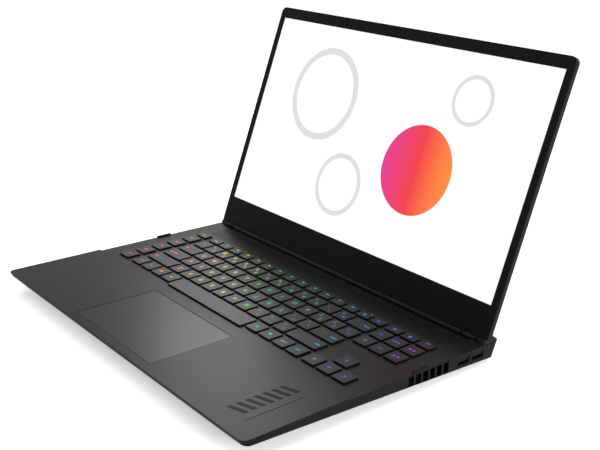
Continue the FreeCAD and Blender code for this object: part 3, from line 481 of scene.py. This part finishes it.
# Rubber seals under the lid close the slit over each hinge tower, clear of the tower's round head
seal = {"low": 1.62, "high": 2.15, "near": -1.25, "far": -2.2, "width": 4.5, "gap": 0.05, "bevel": 0.12}
joints = {joint["name"]: joint for joint in frame["record"]["behaviour"]["joints"]}
axis = joints["lid_hinge"]["pos_m"]
up, out = (seal["low"] + seal["high"]) / 2 * mm, (seal["near"] + seal["far"]) / 2 * mm
for side, word, end in ((1, "right", 1), (-1, "left", 0)):
    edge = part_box("hinge_knuckle_" + word)[end].x
    startFresh()
    bpy.ops.mesh.primitive_cube_add(size=1, rotation=(lidLean, 0, 0), location=(
        edge + side * (seal["gap"] + seal["width"] / 2) * mm,
        axis[1] + up * math.cos(lidLean) - out * math.sin(lidLean),
        axis[2] + up * math.sin(lidLean) + out * math.cos(lidLean)))
    block = bpy.context.object
    block.scale = (seal["width"] * mm, (seal["high"] - seal["low"]) * mm, (seal["near"] - seal["far"]) * mm)
    bpy.ops.object.transform_apply(location=True, rotation=True, scale=True)
    bpy.ops.object.mode_set(mode="EDIT")
    bpy.ops.mesh.select_all(action="SELECT")
    bpy.ops.mesh.bevel(offset=seal["bevel"] * mm, segments=2)
    bpy.ops.object.mode_set(mode="OBJECT")
    finishPiece(block, "hinge_seal_" + word, "lid", slotMaterials["black_rubber"])
print("hinge seals fitted")

# Pale studio floor: painted board with a soft mottle, white to the camera
studio = {"side": 8.0, "tones": [(0.3, "#f4f4f4"), (0.7, "#fafafa")], "lift": 0.46, "mottleScale": 3.0}
startFresh()
bpy.ops.mesh.primitive_plane_add(size=studio["side"], location=(0, 0, 0))
floor = bpy.context.object
floor.name = "studio_floor"
material, tree = newMaterial("paleStudioBoard")
place = addNode(tree, "ShaderNodeTexCoord").outputs["Object"]
mottle = addNode(tree, "ShaderNodeTexNoise", {}, {
    "Vector": place, "Scale": studio["mottleScale"], "Detail": 3.0})
tone = addNode(tree, "ShaderNodeValToRGB", {}, {"Fac": mottle.outputs["Fac"]}, studio["tones"])
matt = addNode(tree, "ShaderNodeBsdfDiffuse", {}, {"Color": tone.outputs["Color"]})
rays = addNode(tree, "ShaderNodeLightPath")
seen = addNode(tree, "ShaderNodeMath", {"operation": "MULTIPLY"}, {
    0: rays.outputs["Is Camera Ray"], 1: studio["lift"]})
glow = addNode(tree, "ShaderNodeEmission", {}, {"Strength": seen.outputs[0]})
both = addNode(tree, "ShaderNodeAddShader", {}, {0: matt.outputs[0], 1: glow.outputs[0]})
endMaterial(tree, both)
floor.data.materials.append(material)

# World: white where it is seen or mirrored, a plain soft fill elsewhere
surround = {"fill": 0.62}
world = bpy.data.worlds.new("whiteStudio")
bpy.context.scene.world = world
world.use_nodes = True
tree = world.node_tree
tree.nodes.clear()
rays = addNode(tree, "ShaderNodeLightPath")
mirrored = addNode(tree, "ShaderNodeMath", {"operation": "MAXIMUM"}, {
    0: rays.outputs["Is Camera Ray"], 1: rays.outputs["Is Glossy Ray"]})
seen = addNode(tree, "ShaderNodeMath", {"operation": "MAXIMUM"}, {
    0: mirrored.outputs[0], 1: rays.outputs["Is Transmission Ray"]})
level = addNode(tree, "ShaderNodeMapRange", {}, {
    "Value": seen.outputs[0], "To Min": surround["fill"], "To Max": 1.0})
backdrop = addNode(tree, "ShaderNodeBackground", {}, {"Color": (1, 1, 1, 1), "Strength": level.outputs[0]})
addNode(tree, "ShaderNodeOutputWorld", {}, {"Surface": backdrop.outputs[0]})

# Softboxes: place, aim and size in metres, power in watts
softboxes = {
    "overhead_softbox": {"at": (0.2, -0.5, 1.7), "aim": (0, 0, 0), "size": 1.6, "power": 9.0},
    "left_softbox": {"at": (-0.98, 0.68, 0.80), "aim": (0.08, -0.12, 0.02), "size": 0.4, "power": 5.6},
    "right_softbox": {"at": (1.15, 0.40, 0.30), "aim": (0.2, 0.06, 0.05), "size": 0.4, "power": 9.0},
}
for name, lamp in softboxes.items():
    startFresh()
    bpy.ops.object.light_add(type="AREA", location=lamp["at"])
    light = bpy.context.object
    light.name = name
    light.data.size = lamp["size"]
    light.data.energy = lamp["power"]
    light.rotation_euler = (Vector(lamp["aim"]) - Vector(lamp["at"])).to_track_quat("-Z", "Y").to_euler()

# Camera: fitted to the photograph's screen, palm-rest and deck edges
view = {"at": (0.67452, -0.523175, 0.39085), "around": 50.302, "above": 19.414, "roll": 1.268, "lens": 57.915}
startFresh()
bpy.ops.object.camera_add(location=view["at"])
camera = bpy.context.object
turn = Matrix.Rotation(math.radians(view["around"]), 3, "Z")
tilt = Matrix.Rotation(math.radians(90 - view["above"]), 3, "X")
roll = Matrix.Rotation(math.radians(view["roll"]), 3, "Z")
camera.rotation_euler = (turn @ tilt @ roll).to_euler()
camera.data.lens = view["lens"]
bpy.context.scene.camera = camera
bpy.context.scene.view_settings.view_transform = "Standard"
print("studio set")
